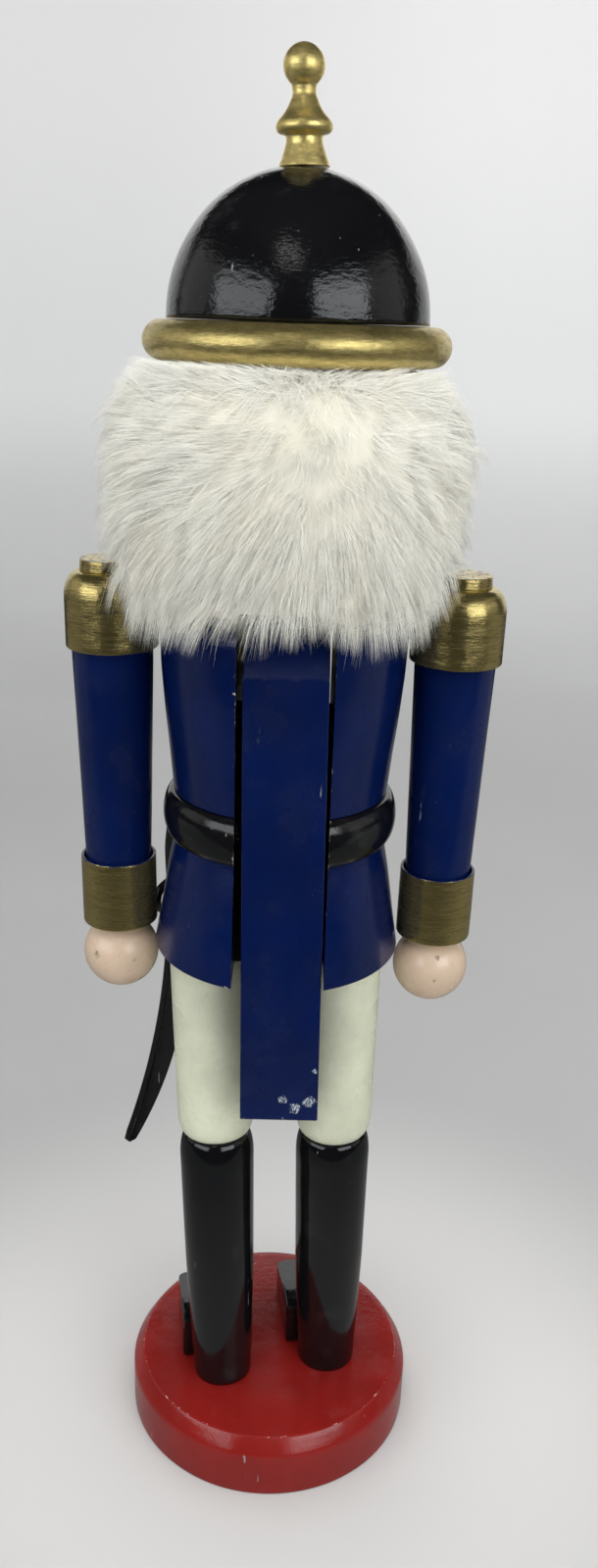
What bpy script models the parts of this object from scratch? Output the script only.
"""Turned-wood nutcracker soldier, 0.61 m tall, as a bench assembly of separate pieces.

Row frame: metres, +Z up, origin at the centre of the base's underside. The face looks along -Y, the jaw
lever hangs down the back on +Y, and the figure's left side is +X.
"""

import math

import bmesh
import bpy
from mathutils import Matrix, Vector

# Fit between touching pieces, and the stock sizes of the dowels and pins
GAP = 0.0003
DOWEL_R = 0.004
SMALL_DOWEL_R = 0.003
PIN_R = 0.0025

# Sides of the turned pieces: wide ones, limbs, and pegs
WIDE_STEPS = 36
LIMB_STEPS = 22
PEG_SIDES = 10

# Base disc
BASE_R = 0.0683
BASE_TOP_R = 0.0635
BASE_H = 0.0298
BASE_CHAMFER_Z = 0.0221

# Hand-set offsets of the upper figure from the base's centre line
BODY_X = 0.0023
HELMET_X = 0.0005
SLOT_X = 0.0006

# Legs: where each leg's axis meets the base and the coat's underside
FOOT = {"left": (0.0226, 0.0201), "right": (-0.0281, 0.0086)}
HIP = {"left": (0.0311, 0.0050), "right": (-0.0259, 0.0080)}
KNEE_Z = 0.1610
KNEE_SEAM_R = 0.0140
BOOT_TOP_R = 0.0172
BOOT_FOOT_R = 0.0138
THIGH_R = 0.0176
THIGH_TOP_R = 0.0189
LEG_DOWEL_HALF = 0.012
SHOE_YAW = math.radians(9)
SHOE_HALF_W = 0.0172
SHOE_REAR = -0.007
SHOE_TOE = -0.049
SHOE_H = 0.0222
SHOE_TOE_H = 0.0150
SHOE_CORNER_R = 0.0060
SHOE_SHIFT = 0.0018

# Coat: skirt, belt and chest, stacked on one axis
HEM_Z = 0.2545
HEM_R = 0.0539
BELT_LOW = 0.3070
BELT_HIGH = 0.3276
BELT_R = 0.0502
WAIST_R = 0.0458
SPIGOT_R = 0.0426
CHEST_R = 0.0515
CHEST_TOP = 0.4080
CORE_DOWEL_R = 0.006
CORE_DOWEL_Y = -0.019

# The slot for the lever, and the mouth at its front
SLOT_HALF_W = 0.0192
SLOT_BACK_Y = 0.024
SLOT_FLOOR_Z = 0.338
MOUTH_TOP_Z = 0.434

# Head and helmet
HEAD_R = 0.0470
BRIM_LOW = 0.5009
BRIM_HIGH = 0.5159
BRIM_R = 0.0595
DOME_R = 0.0505
DOME_H = 0.0543
DOME_FLAT_Z = 0.5693
FINIAL_LEAN = math.radians(2.0)
HELMET_DOWEL_R = 0.005

# Jaw lever: a bar behind, an arm through the slot, the jaw in front
PIVOT_Y = 0.006
PIVOT_Z = 0.400
LEVER_HALF_W = 0.0168
LEVER_LEAN = math.radians(0.6)
LEVER_BACK_Y = 0.0473
LEVER_FRONT_Y = 0.0273
LEVER_FOOT_Z = 0.1903
JAW_FRONT_Y = -0.050
JAW_TOP_Z = 0.415
TEETH_HALF_W = 0.0140
BEARD_HALF_W = 0.0168

# Arms, measured from the lower edge of the epaulette
ARM_X = 0.0714
ARM_Z = {"left": 0.3875, "right": 0.3855}
ARM_LEAN = math.radians(0.7)
EPAULETTE_R = 0.0192
EPAULETTE_H = 0.0315
SLEEVE_TOP_R = 0.0169
SLEEVE_LOW_R = 0.0140
CUFF_R = 0.0163
CUFF_HIGH = -0.0935
CUFF_LOW = -0.1245
CUFF_RECESS_R = 0.0150
CUFF_RECESS = 0.005
HAND_R = 0.0166
HAND_Z = -0.1403
SHOULDER_PEG_Y = -0.006
SHOULDER_PEG_Z = 0.396

# Sabre: a flat piece standing in a vertical plane at the front left of the coat
SABRE_AT = (0.0540, -0.0300)
SABRE_YAW = math.radians(45)
SABRE_HALF_T = 0.0023
BLADE_TOP_Z = 0.249
BLADE_TIP_Z = 0.1362
BLADE_W = 0.011
SPINE_R = 0.245
GRIP_LOW_Z = 0.2693
GRIP_TOP_Z = 0.3040
SABRE_PEG_Z = 0.288

BLACK = (0.010, 0.010, 0.012)
GOLD = (0.42, 0.34, 0.13)
BLUE = (0.004, 0.012, 0.075)
RED = (0.26, 0.022, 0.020)
CREAM = (0.62, 0.62, 0.48)
SKIN = (0.66, 0.46, 0.36)
FUR = (0.82, 0.80, 0.74)
BARE_WOOD = (0.50, 0.36, 0.21)
STEEL = (0.55, 0.55, 0.56)
IVORY = (0.80, 0.78, 0.68)


# ---------------------------------------------------------------- scene and helpers


def clear_scene():
    for obj in list(bpy.data.objects):
        bpy.data.objects.remove(obj, do_unlink=True)


def collection(name):
    made = bpy.data.collections.new(name)
    bpy.context.scene.collection.children.link(made)
    return made


def material(name, colour, roughness, metallic=0.0):
    made = bpy.data.materials.new(name)
    made.use_nodes = True
    shader = made.node_tree.nodes["Principled BSDF"]
    shader.inputs["Base Color"].default_value = (*colour, 1.0)
    shader.inputs["Roughness"].default_value = roughness
    shader.inputs["Metallic"].default_value = metallic
    return made


def add_mesh(name, mesh, finish=None, parent=None):
    """A new object in the figure's collection, or a hidden cutter if it has no finish."""
    obj = bpy.data.objects.new(name, mesh)
    if finish is None:
        CUTTERS.objects.link(obj)
        obj.hide_render = True
        obj.display_type = "WIRE"
    else:
        FIGURE.objects.link(obj)
        mesh.materials.append(finish)
    obj.parent = parent
    return obj


def smooth(obj, angle=40):
    obj.data.shade_smooth()
    obj.data.set_sharp_from_angle(angle=math.radians(angle))
    return obj


def empty(name, at, rotation=None):
    obj = bpy.data.objects.new(name, None)
    FIGURE.objects.link(obj)
    obj.location = at
    if rotation is not None:
        obj.rotation_mode = "QUATERNION"
        obj.rotation_quaternion = rotation
    return obj


def arc(centre, radii, start, end, count):
    """Points on an ellipse about centre, from one angle to another in degrees."""
    points = []
    for i in range(count + 1):
        a = math.radians(start + (end - start) * i / count)
        points.append((centre[0] + radii[0] * math.cos(a), centre[1] + radii[1] * math.sin(a)))
    return points


def turned(name, profile, finish=None, parent=None, at=(0, 0, 0), steps=WIDE_STEPS, ring=False):
    """A Screw about Z of (radius, height) points given from the top down the outside.

    The profile starts and ends on the axis, or closes on itself where ring is set.
    """
    mesh = bpy.data.meshes.new(name)
    edges = [(i, i + 1) for i in range(len(profile) - 1)]
    if ring:
        edges.append((len(profile) - 1, 0))
    mesh.from_pydata([(r, 0, z) for r, z in profile], edges, [])
    obj = add_mesh(name, mesh, finish, parent)
    obj.location = at
    screw = obj.modifiers.new("turn", "SCREW")
    screw.axis = "Z"
    screw.angle = math.tau
    screw.steps = steps
    screw.render_steps = steps
    screw.use_merge_vertices = True
    screw.merge_threshold = 1e-5
    screw.use_smooth_shade = True
    return obj


def rod(name, radius, start, end, finish=None, parent=None, sides=PEG_SIDES):
    """A round rod between two points."""
    start, end = Vector(start), Vector(end)
    mesh = bpy.data.meshes.new(name)
    bm = bmesh.new()
    bmesh.ops.create_cone(
        bm, cap_ends=True, segments=sides, radius1=radius, radius2=radius, depth=(end - start).length
    )
    turn = Vector((0, 0, 1)).rotation_difference(end - start).to_matrix().to_4x4()
    bm.transform(Matrix.Translation((start + end) / 2) @ turn)
    bm.to_mesh(mesh)
    bm.free()
    return smooth(add_mesh(name, mesh, finish, parent))


def block(name, low, high, finish=None, parent=None):
    """A box between two corners."""
    low, high = Vector(low), Vector(high)
    mesh = bpy.data.meshes.new(name)
    bm = bmesh.new()
    bmesh.ops.create_cube(bm, size=1.0)
    size = high - low
    bm.transform(Matrix.Translation((low + high) / 2) @ Matrix.Diagonal((*size, 1)))
    bm.to_mesh(mesh)
    bm.free()
    return add_mesh(name, mesh, finish, parent)


def ball(name, centre, radii, finish=None, parent=None, rings=7):
    """An ellipsoid."""
    mesh = bpy.data.meshes.new(name)
    bm = bmesh.new()
    bmesh.ops.create_uvsphere(bm, u_segments=2 * rings, v_segments=rings, radius=1.0)
    bm.transform(Matrix.Translation(centre) @ Matrix.Diagonal((*radii, 1)))
    bm.to_mesh(mesh)
    bm.free()
    return smooth(add_mesh(name, mesh, finish, parent))


def plate(name, outline, half_thickness, placing, finish=None, parent=None):
    """A flat outline extruded both ways; placing takes its XY plane to where it stands."""
    curve = bpy.data.curves.new(name, "CURVE")
    curve.dimensions = "2D"
    curve.fill_mode = "BOTH"
    curve.extrude = half_thickness
    spline = curve.splines.new("POLY")
    spline.points.add(len(outline) - 1)
    for point, (x, y) in zip(spline.points, outline):
        point.co = (x, y, 0, 1)
    spline.use_cyclic_u = True
    drawn = bpy.data.objects.new(name, curve)
    bpy.context.scene.collection.objects.link(drawn)
    bpy.context.view_layer.update()
    graph = bpy.context.evaluated_depsgraph_get()
    mesh = bpy.data.meshes.new_from_object(drawn.evaluated_get(graph))
    bpy.data.objects.remove(drawn, do_unlink=True)
    bm = bmesh.new()
    bm.from_mesh(mesh)
    bmesh.ops.remove_doubles(bm, verts=bm.verts, dist=1e-6)
    bm.transform(placing)
    bmesh.ops.recalc_face_normals(bm, faces=bm.faces)
    bm.to_mesh(mesh)
    bm.free()
    mesh.materials.clear()
    return add_mesh(name, mesh, finish, parent)


def cut(obj, *cutters):
    for cutter in cutters:
        boolean = obj.modifiers.new("cut " + cutter.name, "BOOLEAN")
        boolean.operation = "DIFFERENCE"
        boolean.object = cutter
        boolean.solver = "EXACT"
    return obj


def bevel(obj, width, segments=1):
    made = obj.modifiers.new("soft edge", "BEVEL")
    made.width = width
    made.segments = segments
    made.limit_method = "ANGLE"
    return obj


def dowel(name, radius, start, end, finish, parent=None, sides=PEG_SIDES):
    """A rod and the cutter of the hole that it is glued into."""
    piece = rod(name, radius, start, end, finish, parent, sides)
    along = (Vector(end) - Vector(start)).normalized() * GAP
    hole = rod(
        name + "_hole", radius + GAP, Vector(start) - along, Vector(end) + along, None, parent, sides
    )
    return piece, hole


def side_on(x):
    """Takes an outline drawn as (y, z) to the plane x = const."""
    return Matrix(((0, 0, 1, x), (1, 0, 0, 0), (0, 1, 0, 0), (0, 0, 0, 1)))


# ---------------------------------------------------------------- lower figure


def make_base():
    profile = [
        (0, BASE_H),
        (BASE_TOP_R, BASE_H),
        (BASE_R, BASE_CHAMFER_Z),
        (BASE_R, 0.0012),
        (BASE_R - 0.0012, 0),
        (0, 0),
    ]
    return turned("base_disc", profile, RED_PAINT)


def boot_profile():
    height = KNEE_Z - BASE_H
    shoulder = arc((KNEE_SEAM_R, height - 0.0115), (BOOT_TOP_R - KNEE_SEAM_R, 0.0115), 90, 0, 4)
    sunk = -0.003
    return [(0, height)] + shoulder + [(0.0162, 0.062), (0.0150, 0.028), (BOOT_FOOT_R, sunk), (0, sunk)]


def thigh_profile():
    low = KNEE_Z - BASE_H + GAP
    rise = 0.0105
    knee = arc((KNEE_SEAM_R, low + rise), (THIGH_R - KNEE_SEAM_R, rise), 0, -90, 4)
    top = HEM_Z - BASE_H + 0.004
    return [(0, top), (THIGH_TOP_R, top)] + knee + [(0, low)]


def make_shoe(side, boot_room):
    """A block with a blunt toe, glued to the front of the boot a little to one side."""
    corner = (SHOE_CORNER_R, SHOE_CORNER_R)
    corner_x = SHOE_HALF_W - SHOE_CORNER_R
    corner_y = SHOE_TOE + SHOE_CORNER_R
    outline = (
        [(-SHOE_HALF_W, SHOE_REAR)]
        + arc((-corner_x, corner_y), corner, 180, 270, 4)
        + arc((corner_x, corner_y), corner, 270, 360, 4)
        + [(SHOE_HALF_W, SHOE_REAR)]
    )
    half = SHOE_H / 2
    foot = (FOOT[side][0] + SHOE_SHIFT, FOOT[side][1])
    stand = Matrix.Translation((foot[0], foot[1], BASE_H + GAP)) @ Matrix.Rotation(SHOE_YAW, 4, "Z")
    shoe = plate(side + "_shoe", outline, half, stand @ Matrix.Translation((0, 0, half)), BLACK_PAINT)
    far = 0.08
    slope = [(-far, SHOE_TOE_H - 0.0066), (SHOE_TOE + 0.030, SHOE_H + 0.0008), (-far, far)]
    top_cut = plate(side + "_shoe_slope", slope, far, stand @ side_on(0))
    return cut(bevel(shoe, 0.0012), top_cut, boot_room)


def make_leg(side, above_hem, below_base):
    foot = Vector((*FOOT[side], BASE_H))
    hip = Vector((*HIP[side], HEM_Z))
    along = (hip - foot).normalized()
    axis = empty(side + "_leg_axis", foot, Vector((0, 0, 1)).rotation_difference(along))
    knee = KNEE_Z - BASE_H
    length = (hip - foot).length
    foot_peg, foot_hole = dowel(
        side + "_base_dowel", DOWEL_R, (0, 0, -LEG_DOWEL_HALF), (0, 0, LEG_DOWEL_HALF), BARE, axis
    )
    knee_peg, knee_hole = dowel(
        side + "_knee_dowel",
        DOWEL_R,
        (0, 0, knee - LEG_DOWEL_HALF),
        (0, 0, knee + LEG_DOWEL_HALF),
        BARE,
        axis,
    )
    hip_peg, hip_hole = dowel(
        side + "_hip_dowel",
        DOWEL_R,
        (0, 0, length - LEG_DOWEL_HALF),
        (0, 0, length + LEG_DOWEL_HALF),
        BARE,
        axis,
    )
    boot = turned(side + "_boot", boot_profile(), BLACK_PAINT, axis, steps=LIMB_STEPS)
    cut(boot, below_base, foot_hole, knee_hole)
    thigh = turned(side + "_trouser_leg", thigh_profile(), CREAM_PAINT, axis, steps=LIMB_STEPS)
    cut(thigh, above_hem, knee_hole, hip_hole)
    room = [(r + GAP if r else 0, z) for r, z in boot_profile()]
    boot_room = turned(side + "_boot_room", room, None, axis, steps=LIMB_STEPS)
    make_shoe(side, boot_room)
    return foot_hole, hip_hole


# ---------------------------------------------------------------- coat, head and helmet


def make_slot_cutter():
    far = 0.09
    outline = [
        (-far, SLOT_FLOOR_Z),
        (-0.020, SLOT_FLOOR_Z),
        (SLOT_BACK_Y, SLOT_FLOOR_Z + 0.034),
        (SLOT_BACK_Y, HEM_Z - 0.02),
        (far, HEM_Z - 0.02),
        (far, MOUTH_TOP_Z - 0.016),
        (0.010, MOUTH_TOP_Z),
        (-far, MOUTH_TOP_Z),
    ]
    return plate("lever_slot", outline, SLOT_HALF_W, side_on(SLOT_X))


def make_coat(slot, hip_holes):
    at = (BODY_X, 0, 0)
    skirt_top = BELT_LOW - GAP
    skirt_profile = [
        (0, skirt_top),
        (WAIST_R - 0.0004, skirt_top),
        (0.0483, 0.291),
        (0.0512, 0.272),
        (HEM_R, HEM_Z + 0.0025),
        (HEM_R - 0.0005, HEM_Z + 0.0008),
        (HEM_R - 0.0018, HEM_Z),
        (0, HEM_Z),
    ]
    skirt = turned("coat_skirt", skirt_profile, BLUE_PAINT, at=at)
    middle = (BELT_LOW + BELT_HIGH) / 2
    half = (BELT_HIGH - BELT_LOW) / 2
    bead = arc((WAIST_R, middle), (BELT_R - WAIST_R, half), 90, -90, 6)
    inner = SPIGOT_R + GAP
    belt_profile = bead + [(inner, BELT_LOW), (inner, BELT_HIGH)]
    belt = turned("belt", belt_profile, BLACK_PAINT, at=at, ring=True)
    shoulder = arc((CHEST_R - 0.006, CHEST_TOP - 0.011), (0.006, 0.011), 90, 0, 3)
    chest_low = BELT_HIGH + GAP
    chest_profile = (
        [(0, CHEST_TOP)]
        + shoulder
        + [
            (0.0508, 0.380),
            (0.0493, 0.363),
            (0.0474, 0.346),
            (WAIST_R, chest_low + 0.001),
            (WAIST_R - 0.0004, chest_low),
            (SPIGOT_R, chest_low),
            (SPIGOT_R, BELT_LOW),
            (0, BELT_LOW),
        ]
    )
    chest = turned("coat_chest", chest_profile, BLUE_PAINT, at=at)
    _, core_hole = dowel(
        "waist_dowel",
        CORE_DOWEL_R,
        (BODY_X, CORE_DOWEL_Y, BELT_LOW - 0.02),
        (BODY_X, CORE_DOWEL_Y, BELT_LOW + 0.02),
        BARE,
    )
    cut(skirt, slot, core_hole, *hip_holes)
    cut(belt, slot)
    cut(chest, slot, core_hole)
    return skirt, chest


def make_head(slot):
    low = CHEST_TOP + GAP
    high = BRIM_LOW - GAP
    profile = [
        (0, high),
        (HEAD_R - 0.0015, high),
        (HEAD_R, high - 0.002),
        (HEAD_R + 0.0004, 0.455),
        (HEAD_R, 0.428),
        (HEAD_R - 0.0012, low + 0.001),
        (HEAD_R - 0.0022, low),
        (0, low),
    ]
    head = turned("head_block", profile, SKIN_PAINT, at=(BODY_X, 0, 0))
    return cut(head, slot)


def make_neck_dowels(head, chest):
    for side, sign in SIDES:
        x = BODY_X + sign * 0.033
        low_end = (x, -0.014, CHEST_TOP - 0.012)
        high_end = (x, -0.014, CHEST_TOP + 0.012)
        _, hole = dowel(side + "_neck_dowel", DOWEL_R, low_end, high_end, BARE)
        cut(head, hole)
        cut(chest, hole)


def make_helmet(head):
    at = (HELMET_X, 0, 0)
    half = (BRIM_HIGH - BRIM_LOW) / 2
    edge = arc((BRIM_R - half, BRIM_LOW + half), (half, half), 90, -90, 6)
    brim = turned("helmet_brim", [(0, BRIM_HIGH)] + edge + [(0, BRIM_LOW)], GOLD_PAINT, at=at)
    low = BRIM_HIGH + GAP
    top_angle = math.degrees(math.asin((DOME_FLAT_Z - low) / DOME_H))
    shell = arc((0, low), (DOME_R, DOME_H), top_angle, 0, 8)
    dome = turned("helmet_dome", [(0, DOME_FLAT_Z)] + shell + [(0, low)], BLACK_PAINT, at=at)
    low_end = (HELMET_X, 0, BRIM_LOW - 0.016)
    high_end = (HELMET_X, 0, BRIM_HIGH + 0.016)
    _, hole = dowel("helmet_dowel", HELMET_DOWEL_R, low_end, high_end, BARE)
    for piece in (head, brim, dome):
        cut(piece, hole)
    return dome


def make_finial(dome):
    """Foot, bell and ball turned on one axis, which leans a little towards +X."""
    foot = empty(
        "finial_axis",
        (HELMET_X - 0.0008, 0, DOME_FLAT_Z + GAP + 0.00035),
        Matrix.Rotation(FINIAL_LEAN, 3, "Y").to_quaternion(),
    )
    ball_r = 0.0076
    ball_z = 0.0334
    profile = (
        [(0, ball_z + ball_r)]
        + arc((0, ball_z), (ball_r, ball_r), 70, -52, 6)
        + [
            (0.0042, 0.0252),
            (0.0044, 0.0236),
            (0.0061, 0.0198),
            (0.0077, 0.0176),
            (0.0100, 0.0150),
            (0.0106, 0.0134),
            (0.0103, 0.0122),
            (0.0088, 0.0113),
            (0.0066, 0.0104),
            (0.0067, 0.0082),
            (0.0080, 0.0043),
            (0.0096, 0.0004),
            (0.0092, 0),
            (0, 0),
        ]
    )
    finial = turned("finial", profile, GOLD_PAINT, foot, steps=18)
    _, hole = dowel("finial_dowel", SMALL_DOWEL_R, (0, 0, -0.010), (0, 0, 0.008), BARE, foot)
    cut(finial, hole)
    cut(dome, hole)


# ---------------------------------------------------------------- lever, jaw and face


def make_lever(chest):
    """One bar: tail behind, arm through the slot, jaw in front, turning on a cross pin."""
    hinge = empty(
        "jaw_hinge", (SLOT_X, PIVOT_Y, PIVOT_Z), Matrix.Rotation(LEVER_LEAN, 3, "Y").to_quaternion()
    )
    outline = [
        (LEVER_BACK_Y, LEVER_FOOT_Z),
        (LEVER_BACK_Y, 0.3875),
        (0.030, 0.409),
        (0.022, 0.4125),
        (0.010, JAW_TOP_Z),
        (-0.0435, JAW_TOP_Z),
        (-0.0435, 0.407),
        (JAW_FRONT_Y, 0.407),
        (JAW_FRONT_Y, 0.376),
        (-0.044, 0.371),
        (-0.034, 0.378),
        (0.018, 0.388),
        (LEVER_FRONT_Y, 0.376),
        (LEVER_FRONT_Y, LEVER_FOOT_Z),
    ]
    from_hinge = [(y - PIVOT_Y, z - PIVOT_Z) for y, z in outline]
    lever = plate("jaw_lever", from_hinge, LEVER_HALF_W, side_on(0), BLUE_PAINT, hinge)
    pin_half = 0.0485
    pin_start = (BODY_X - pin_half, PIVOT_Y, PIVOT_Z)
    pin_end = (BODY_X + pin_half, PIVOT_Y, PIVOT_Z)
    _, pin_hole = dowel("pivot_pin", PIN_R, pin_start, pin_end, STEEL_PLAIN)
    open_ends = rod("pivot_bore", PIN_R + GAP, (-0.07, PIVOT_Y, PIVOT_Z), (0.07, PIVOT_Y, PIVOT_Z))
    cut(chest, open_ends)
    cut(bevel(lever, 0.0006), pin_hole)
    teeth_low = (-TEETH_HALF_W, JAW_FRONT_Y - PIVOT_Y, 0.4073 - PIVOT_Z)
    teeth_high = (TEETH_HALF_W, -0.0438 - PIVOT_Y, 0.4213 - PIVOT_Z)
    bevel(block("lower_teeth", teeth_low, teeth_high, IVORY_PAINT, hinge), 0.0008)
    beard_front = [(-0.058, 0.404), (-0.062, 0.392), (-0.060, 0.374), (-0.054, 0.368)]
    beard = [(-0.0503, 0.406)] + beard_front + [(-0.0503, 0.368)]
    beard_at_hinge = [(y - PIVOT_Y, z - PIVOT_Z) for y, z in beard]
    plate("beard_fur", beard_at_hinge, BEARD_HALF_W, side_on(0), FUR_WHITE, hinge)


def make_face(head_room):
    """Upper teeth, nose and moustache, all glued to the front of the head."""
    teeth_low = (SLOT_X - TEETH_HALF_W, -0.0462, 0.4278)
    teeth_high = (SLOT_X + TEETH_HALF_W, -0.0400, MOUTH_TOP_Z - GAP)
    bevel(block("upper_teeth", teeth_low, teeth_high, IVORY_PAINT), 0.0008)
    nose = ball("nose", (BODY_X, -0.049, 0.4565), (0.0072, 0.0115, 0.0095), SKIN_PAINT)
    cut(nose, head_room)
    for side, sign in SIDES:
        centre = (BODY_X + sign * 0.0125, -0.0480, 0.4408)
        tuft = ball(side + "_moustache", (0, 0, 0), (0.0120, 0.0062, 0.0044), FUR_WHITE, rings=6)
        tuft.location = centre
        tuft.rotation_euler = (0, sign * math.radians(12), sign * math.radians(14))
        cut(tuft, head_room)


def make_hair():
    """The fur wrap round the head: a ring, open at the face and clear of the shoulders and the lever."""
    nape_r = 0.0545
    wrap = HEAD_R + 0.0009
    profile = [
        (0.0570, 0.4994),
        (0.0655, 0.4900),
        (0.0700, 0.4720),
        (0.0710, 0.4520),
        (0.0700, 0.4320),
        (0.0670, 0.4160),
        (0.0610, 0.4085),
        (nape_r, 0.4085),
        (nape_r, 0.4240),
        (wrap, 0.4300),
        (wrap, 0.4994),
    ]
    hair = turned("hair_fur", profile, FUR_WHITE, at=(BODY_X, 0, 0), steps=30, ring=True)
    far = 0.12
    spread = far * math.tan(math.radians(56))
    face_outline = [(0, 0.004), (spread, -far), (-spread, -far)]
    face_opening = plate("face_opening", face_outline, far, Matrix.Translation((BODY_X, 0, 0.45)))
    shoulders = [
        block(
            side + "_shoulder_room",
            (sign * 0.085 + BODY_X - 0.0345, -far, 0.380),
            (sign * 0.085 + BODY_X + 0.0345, 0.0235, 0.4275),
        )
        for side, sign in SIDES
    ]
    return cut(hair, face_opening, *shoulders)


# ---------------------------------------------------------------- arms


def make_arm(side, sign, chest):
    """Epaulette cap, sleeve, cuff and ball hand on one axis, pegged to the chest's side."""
    at = (BODY_X + sign * ARM_X, 0, ARM_Z[side])
    axis = empty(side + "_arm_axis", at, Matrix.Rotation(sign * ARM_LEAN, 3, "Y").to_quaternion())
    cap_depth = 0.0200
    dome_edge = arc((0.0128, 0.0215), (EPAULETTE_R - 0.0128, EPAULETTE_H - 0.0215), 90, 0, 4)
    recess_r = SLEEVE_TOP_R + GAP
    cap_profile = (
        [(0, EPAULETTE_H)]
        + dome_edge
        + [(EPAULETTE_R, 0.0006), (EPAULETTE_R - 0.0006, 0)]
        + [(recess_r, 0), (recess_r, cap_depth), (0, cap_depth)]
    )
    cap = turned(side + "_epaulette", cap_profile, GOLD_PAINT, axis, steps=LIMB_STEPS)
    button_low = EPAULETTE_H + GAP
    button_top = button_low + 0.0045
    button_profile = [(0, button_top)] + arc((0.0115, button_top - 0.001), (0.001, 0.001), 90, 0, 1)
    button_profile += [(0.0125, button_low), (0, button_low)]
    turned(side + "_shoulder_button", button_profile, GOLD_PAINT, axis, steps=LIMB_STEPS)
    sleeve_low = CUFF_HIGH - CUFF_RECESS + GAP
    sleeve_profile = [
        (0, cap_depth - GAP),
        (SLEEVE_TOP_R - 0.0005, cap_depth - GAP),
        (SLEEVE_TOP_R, 0),
        (0.0153, -0.055),
        (0.0145, -0.085),
        (SLEEVE_LOW_R, sleeve_low + 0.002),
        (SLEEVE_LOW_R, sleeve_low),
        (0, sleeve_low),
    ]
    sleeve = turned(side + "_sleeve", sleeve_profile, BLUE_PAINT, axis, steps=LIMB_STEPS)
    floor = CUFF_HIGH - CUFF_RECESS
    cuff_profile = [
        (0, floor),
        (CUFF_RECESS_R, floor),
        (CUFF_RECESS_R, CUFF_HIGH),
        (CUFF_R - 0.0005, CUFF_HIGH),
        (CUFF_R, CUFF_HIGH - 0.0005),
        (CUFF_R, CUFF_LOW + 0.0006),
        (CUFF_R - 0.0006, CUFF_LOW),
        (0, CUFF_LOW),
    ]
    cuff = turned(side + "_cuff", cuff_profile, GOLD_PAINT, axis, steps=LIMB_STEPS)
    seat = CUFF_LOW - GAP
    seat_angle = math.degrees(math.asin((seat - HAND_Z) / HAND_R))
    ball = arc((0, HAND_Z), (HAND_R, HAND_R), seat_angle, -76, 7)
    hand_profile = [(0, seat)] + ball + [(0, HAND_Z - HAND_R)]
    hand = turned(side + "_hand", hand_profile, SKIN_PAINT, axis, steps=LIMB_STEPS)
    high_end = (0, 0, HAND_Z + 0.004)
    _, wrist_hole = dowel(side + "_wrist_dowel", DOWEL_R, (0, 0, floor - 0.008), high_end, BARE, axis)
    cut(cuff, wrist_hole)
    cut(hand, wrist_hole)
    _, peg_hole = dowel(
        side + "_shoulder_dowel",
        DOWEL_R,
        (BODY_X + sign * 0.036, SHOULDER_PEG_Y, SHOULDER_PEG_Z),
        (BODY_X + sign * 0.064, SHOULDER_PEG_Y, SHOULDER_PEG_Z),
        BARE,
    )
    for piece in (cap, sleeve, chest):
        cut(piece, peg_hole)


# ---------------------------------------------------------------- sabre and dress details


def sabre_placing():
    """Takes an outline drawn as (along the sabre's plane, height) to where the sabre hangs."""
    c, s = math.cos(SABRE_YAW), math.sin(SABRE_YAW)
    return Matrix(((c, 0, s, SABRE_AT[0]), (s, 0, -c, SABRE_AT[1]), (0, 1, 0, 0), (0, 0, 0, 1)))


def make_sabre(skirt):
    placing = sabre_placing()
    count = 9
    length = BLADE_TOP_Z - BLADE_TIP_Z
    spine = []
    edge = []
    for i in range(count + 1):
        drop = length * i / count
        spine.append((SPINE_R - math.sqrt(SPINE_R**2 - drop**2), BLADE_TOP_Z - drop))
        edge.append((-BLADE_W + 0.0333 * (drop / length) ** 3, BLADE_TOP_Z - drop))
    outline = spine[:-1] + [(spine[-1][0] - 0.0008, BLADE_TIP_Z)] + edge[::-1]
    bevel(plate("sabre_blade", outline, SABRE_HALF_T, placing, BLACK_PAINT), 0.0006)
    guard_low = BLADE_TOP_Z + GAP
    guard_high = GRIP_LOW_Z - GAP
    guard_mid = (guard_low + guard_high) / 2
    guard_outline = arc((-0.0045, guard_mid), (0.0135, (guard_high - guard_low) / 2), 0, 340, 17)
    guard = plate("sabre_guard", guard_outline, SABRE_HALF_T, placing, BLACK_PAINT)
    for name, centre in (("outer", 0.0035), ("inner", -0.0125)):
        oval = arc((centre, guard_mid), (0.0024, 0.0050), 0, 315, 7)
        cut(guard, plate(name + "_guard_eye", oval, 0.01, placing))
    grip_outline = (
        [(-0.0090, GRIP_LOW_Z), (-0.0010, GRIP_LOW_Z), (-0.0002, 0.284), (-0.0018, 0.296)]
        + arc((-0.0050, GRIP_TOP_Z - 0.004), (0.0048, 0.0040), 0, 180, 4)
        + [(-0.0082, 0.296), (-0.0098, 0.284)]
    )
    grip = plate("sabre_grip", grip_outline, SABRE_HALF_T + 0.0012, placing, BLACK_PAINT)
    bevel(grip, 0.0008)
    inward = placing.to_3x3() @ Vector((0, 0, 1))
    grip_centre = placing @ Vector((-0.0050, SABRE_PEG_Z, 0))
    _, peg_hole = dowel(
        "sabre_peg", 0.002, grip_centre - inward * 0.0225, grip_centre + inward * 0.001, BARE
    )
    cut(grip, peg_hole)
    cut(skirt, peg_hole)


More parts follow.
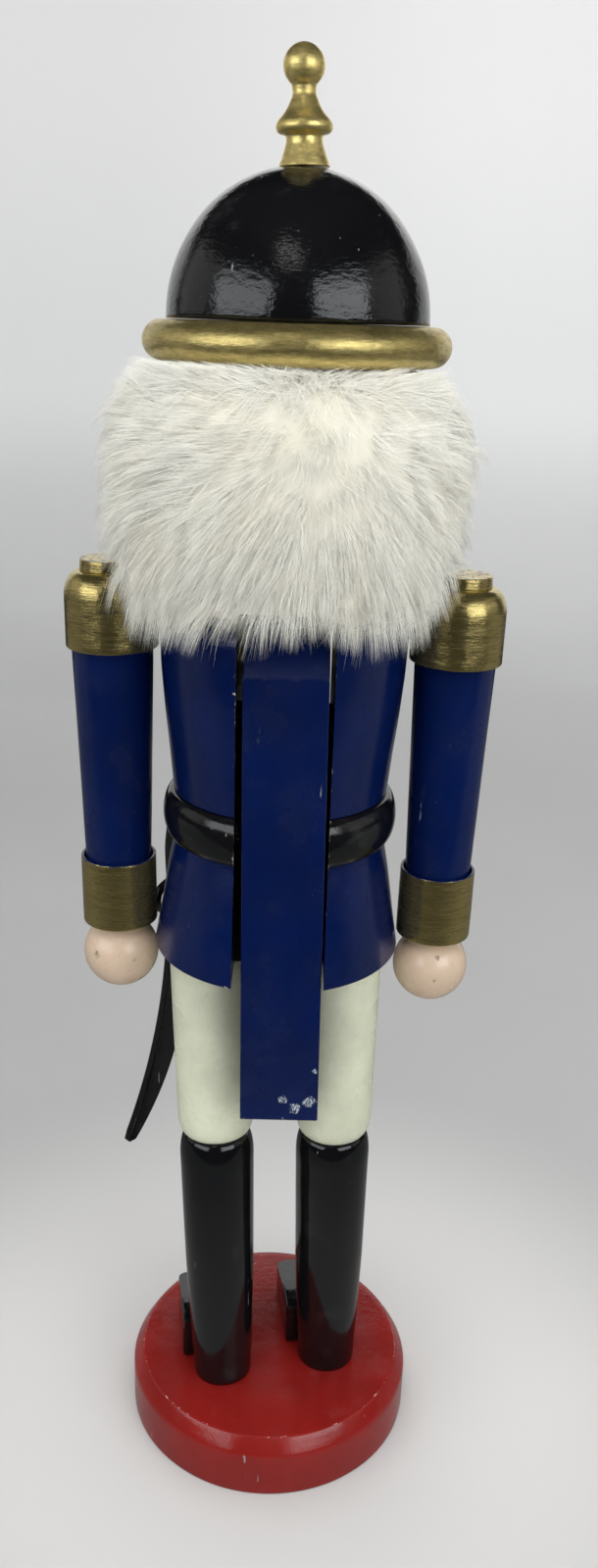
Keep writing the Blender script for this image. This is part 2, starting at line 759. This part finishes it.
def make_coat_buttons(chest_room):
    """Two rows of domed studs down the chest, either side of the slot."""
    for row, height in enumerate((0.388, 0.367, 0.346), start=1):
        for side, sign in SIDES:
            angle = math.radians(-90 + sign * 33)
            radius = 0.0515 if row == 1 else 0.0518 - 0.0015 * (row - 1)
            out = Vector((math.cos(angle), math.sin(angle), 0))
            at = Vector((BODY_X, 0, height)) + out * (radius - 0.0016)
            stud = ball(f"{side}_coat_button_{row}", (0, 0, 0), (0.0040, 0.0040, 0.0030), GOLD_PAINT, rings=4)
            stud.location = at
            stud.rotation_mode = "QUATERNION"
            stud.rotation_quaternion = Vector((0, 0, 1)).rotation_difference(out)
            cut(stud, chest_room)


def make_buckle():
    middle = (BELT_LOW + BELT_HIGH) / 2
    half_w, half_h, half_t = 0.0115, 0.0095, 0.0012
    at = side_front(BODY_X, -BELT_R - GAP - half_t, middle)
    outer = [(-half_w, -half_h), (half_w, -half_h), (half_w, half_h), (-half_w, half_h)]
    window = [(x * 0.58, z * 0.52) for x, z in outer]
    buckle = plate("belt_buckle", outer, half_t, at, GOLD_PAINT)
    bevel(buckle, 0.0008)
    cut(buckle, plate("buckle_window", window, 0.006, at))


def side_front(x, y, z):
    """Takes an outline drawn as (x, z) to a plane that faces the front."""
    return Matrix(((1, 0, 0, x), (0, 0, 1, y), (0, 1, 0, z), (0, 0, 0, 1)))


# ---------------------------------------------------------------- assembly

clear_scene()
FIGURE = collection("nutcracker")
CUTTERS = collection("cutters")
SIDES = (("left", 1), ("right", -1))

BLACK_PAINT = material("gloss_black", BLACK, 0.18)
GOLD_PAINT = material("gold_paint", GOLD, 0.38, 0.75)
BLUE_PAINT = material("blue_paint", BLUE, 0.38)
RED_PAINT = material("red_paint", RED, 0.30)
CREAM_PAINT = material("cream_paint", CREAM, 0.50)
SKIN_PAINT = material("skin_paint", SKIN, 0.35)
IVORY_PAINT = material("teeth_paint", IVORY, 0.40)
FUR_WHITE = material("white_fur", FUR, 0.90)
BARE = material("bare_beech", BARE_WOOD, 0.65)
STEEL_PLAIN = material("steel_pin", STEEL, 0.30, 1.0)

base = make_base()
above_hem = block("above_hem", (-0.09, -0.09, HEM_Z - GAP), (0.09, 0.09, HEM_Z + 0.02))
below_base = block("below_base", (-0.09, -0.09, BASE_H - 0.02), (0.09, 0.09, BASE_H + GAP))
foot_holes = []
hip_holes = []
for side_name, _ in SIDES:
    foot_hole, hip_hole = make_leg(side_name, above_hem, below_base)
    foot_holes.append(foot_hole)
    hip_holes.append(hip_hole)
cut(base, *foot_holes)

lever_slot = make_slot_cutter()
coat_skirt, coat_chest = make_coat(lever_slot, hip_holes)
head_block = make_head(lever_slot)
make_neck_dowels(head_block, coat_chest)
make_finial(make_helmet(head_block))
make_lever(coat_chest)

head_room = turned(
    "head_room", [(0, 0.49), (HEAD_R + 0.0008, 0.49), (HEAD_R + 0.0008, 0.42), (0, 0.42)], at=(BODY_X, 0, 0)
)
make_face(head_room)
make_hair()
for side_name, side_sign in SIDES:
    make_arm(side_name, side_sign, coat_chest)
make_sabre(coat_skirt)

chest_room = turned(
    "chest_room",
    [(0, 0.400)]
    + [(0.0519, 0.392), (0.0512, 0.380), (0.0497, 0.363), (0.0478, 0.346), (0.0464, 0.332)]
    + [(0, 0.332)],
    at=(BODY_X, 0, 0),
)
make_coat_buttons(chest_room)
make_buckle()
